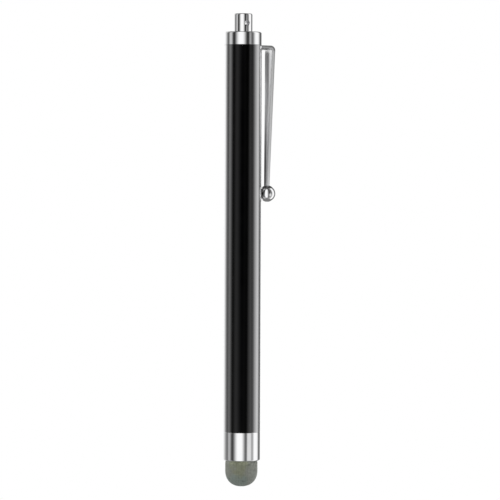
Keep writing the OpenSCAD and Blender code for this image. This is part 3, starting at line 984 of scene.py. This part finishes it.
def makeCamera():
    azimuth = math.radians(studio["azimuth"])
    right = Vector((math.cos(azimuth), math.sin(azimuth), 0))
    target = right * studio["aimAside"] + Vector((0, 0, studio["aimHeight"]))
    place = aroundPen(0, studio["distance"], studio["cameraHeight"]) + right * studio["aimAside"]
    data = bpy.data.cameras.new("camera")
    data.sensor_width = studio["sensorWidth"]
    data.lens = studio["sensorWidth"] * (target - place).length / studio["imageWidth"]
    camera = addObject("camera", data)
    camera.location = place
    turn = (target - place).to_track_quat("-Z", "Y").to_matrix().to_4x4()
    camera.rotation_euler = (turn @ Matrix.Rotation(math.radians(studio["roll"]), 4, "Z")).to_euler()
    scene.camera = camera


def makeCardMaterial():
    # shines at each point's own level, and is clear where its cover runs out
    material, tree, _ = newMaterial("studioCard", {})
    tree.nodes.clear()
    glow = addNode(tree, "Emission", {"Strength": attributeNode(tree, "level")}).outputs[0]
    clear = addNode(tree, "BsdfTransparent").outputs[0]
    mix = addNode(tree, "MixShader", {0: attributeNode(tree, "cover"), 1: clear, 2: glow})
    addNode(tree, "OutputMaterial", {"Surface": mix.outputs[0]})
    return material


def addCard(name, material, points, cover, level, columns, rows):
    # points run along each column in turn
    high = rows + 1
    faces = [(i * high + j, i * high + j + 1, (i + 1) * high + j + 1, (i + 1) * high + j)
             for i in range(columns) for j in range(rows)]
    mesh = bpy.data.meshes.new(name)
    mesh.from_pydata(points, [], faces)
    for label, values in (("cover", cover), ("level", level)):
        mesh.attributes.new(label, "FLOAT", "POINT").data.foreach_set("value", values)
    mesh.materials.append(material)
    card = addObject(name, mesh)
    # only reflections show it
    for ray in ("camera", "diffuse", "transmission", "volume_scatter", "shadow"):
        setattr(card, "visible_" + ray, False)


def makeWalls(material):
    low, high, fade = wallPlan["ringHeight"], wallPlan["capHeight"], wallPlan["fade"]
    for index, (name, wall) in enumerate(walls.items()):
        radius = wallPlan["radius"] - wallPlan["gap"] * index
        foot, top = wall.get("foot", wallPlan["foot"]), wall.get("top", wallPlan["top"])
        heights = sorted({foot, foot + fade / 2, foot + fade, *np.linspace(low, high, 8), top - fade,
                          top - fade / 2, top})
        first, last = np.min(wall["start"]), np.max(wall["end"])
        columns = int((last - first) / wallPlan["step"])
        points, cover, level = [], [], []
        for angle in np.linspace(first, last, columns + 1):
            for height in heights:
                share = clamp((height - low) / (high - low))
                start, startSoft, end, endSoft, shine = (
                    float(np.interp(share, [0, 1], np.broadcast_to(wall[key], 2)))
                    for key in ("start", "startSoft", "end", "endSoft", "level"))
                across = smoothStep(angle, start, start + startSoft) * smoothStep(end - angle, 0, endSoft)
                upwards = smoothStep(height, foot, foot + fade) * smoothStep(top - height, 0, fade)
                cover.append(across * upwards)
                points.append(tuple(aroundPen(angle, radius, height)))
                level.append(shine)
        addCard(name, material, points, cover, level, columns, len(heights) - 1)


def makeLids(material):
    columns, rows = 48, 12
    for name, lid in lids.items():
        points, cover = [], []
        for turn in np.linspace(0, 2 * math.pi, columns + 1):
            for share in np.linspace(0, 1, rows + 1):
                aside = aroundPen(90, lid["across"] * share * math.sin(turn), 0)
                back = aroundPen(180, lid["behind"] + lid["along"] * share * math.cos(turn), lid["height"])
                points.append(tuple(aside + back))
                cover.append(smoothStep(1 - share, 0, lid["soft"]))
        addCard(name, material, points, cover, [lid["level"]] * len(points), columns, rows)


def makeLamps():
    aim = Vector((0, 0, studio["lampAim"]))
    for name, lamp in lamps.items():
        data = bpy.data.lights.new(name, "AREA")
        data.shape = "RECTANGLE"
        data.size, data.size_y = lamp["size"]
        data.energy = lamp["power"]
        light = addObject(name, data)
        light.location = aroundPen(lamp["angle"], lamp["distance"], studio["lampAim"] + lamp["lift"])
        light.rotation_euler = (aim - light.location).to_track_quat("-Z", "Y").to_euler()
        light.visible_glossy = False


def seenDirectly(tree):
    # 1 for rays from the camera, from mirrors and through glass
    path = addNode(tree, "LightPath").outputs
    seen = mathNode(tree, "MAXIMUM", path["Is Camera Ray"], path["Is Glossy Ray"])
    return mathNode(tree, "MAXIMUM", seen, path["Is Transmission Ray"])


def makeBackdrop():
    world = bpy.data.worlds.new("studio")
    scene.world = world
    world.use_nodes = True
    tree = world.node_tree
    background = tree.nodes["Background"]
    background.inputs["Color"].default_value = (1, 1, 1, 1)
    strength = rampNode(tree, seenDirectly(tree), 0.0, 1.0, studio["ambient"], 1.0)
    tree.links.new(strength, background.inputs["Strength"])
    material, tree, diffuse = newMaterial("paleFloor", {"Base Color": (0.9, 0.9, 0.9, 1), "Roughness": 0.9})
    glow = addNode(tree, "Emission", {"Strength": studio["floorGlow"]}).outputs[0]
    share = times(tree, seenDirectly(tree), studio["floorShare"])
    mix = addNode(tree, "MixShader", {0: share, 1: diffuse.outputs[0], 2: glow})
    tree.links.new(mix.outputs[0], tree.nodes["Material Output"].inputs["Surface"])
    half, z = studio["floorSize"] / 2, studio["floorHeight"]
    mesh = bpy.data.meshes.new("floor")
    corners = [(-half, -half, z), (half, -half, z), (half, half, z), (-half, half, z)]
    mesh.from_pydata(corners, [], [(0, 1, 2, 3)])
    mesh.materials.append(material)
    addObject("floor", mesh)


makeCamera()
cardMaterial = makeCardMaterial()
makeWalls(cardMaterial)
makeLids(cardMaterial)
makeLamps()
makeBackdrop()
print("studio set")
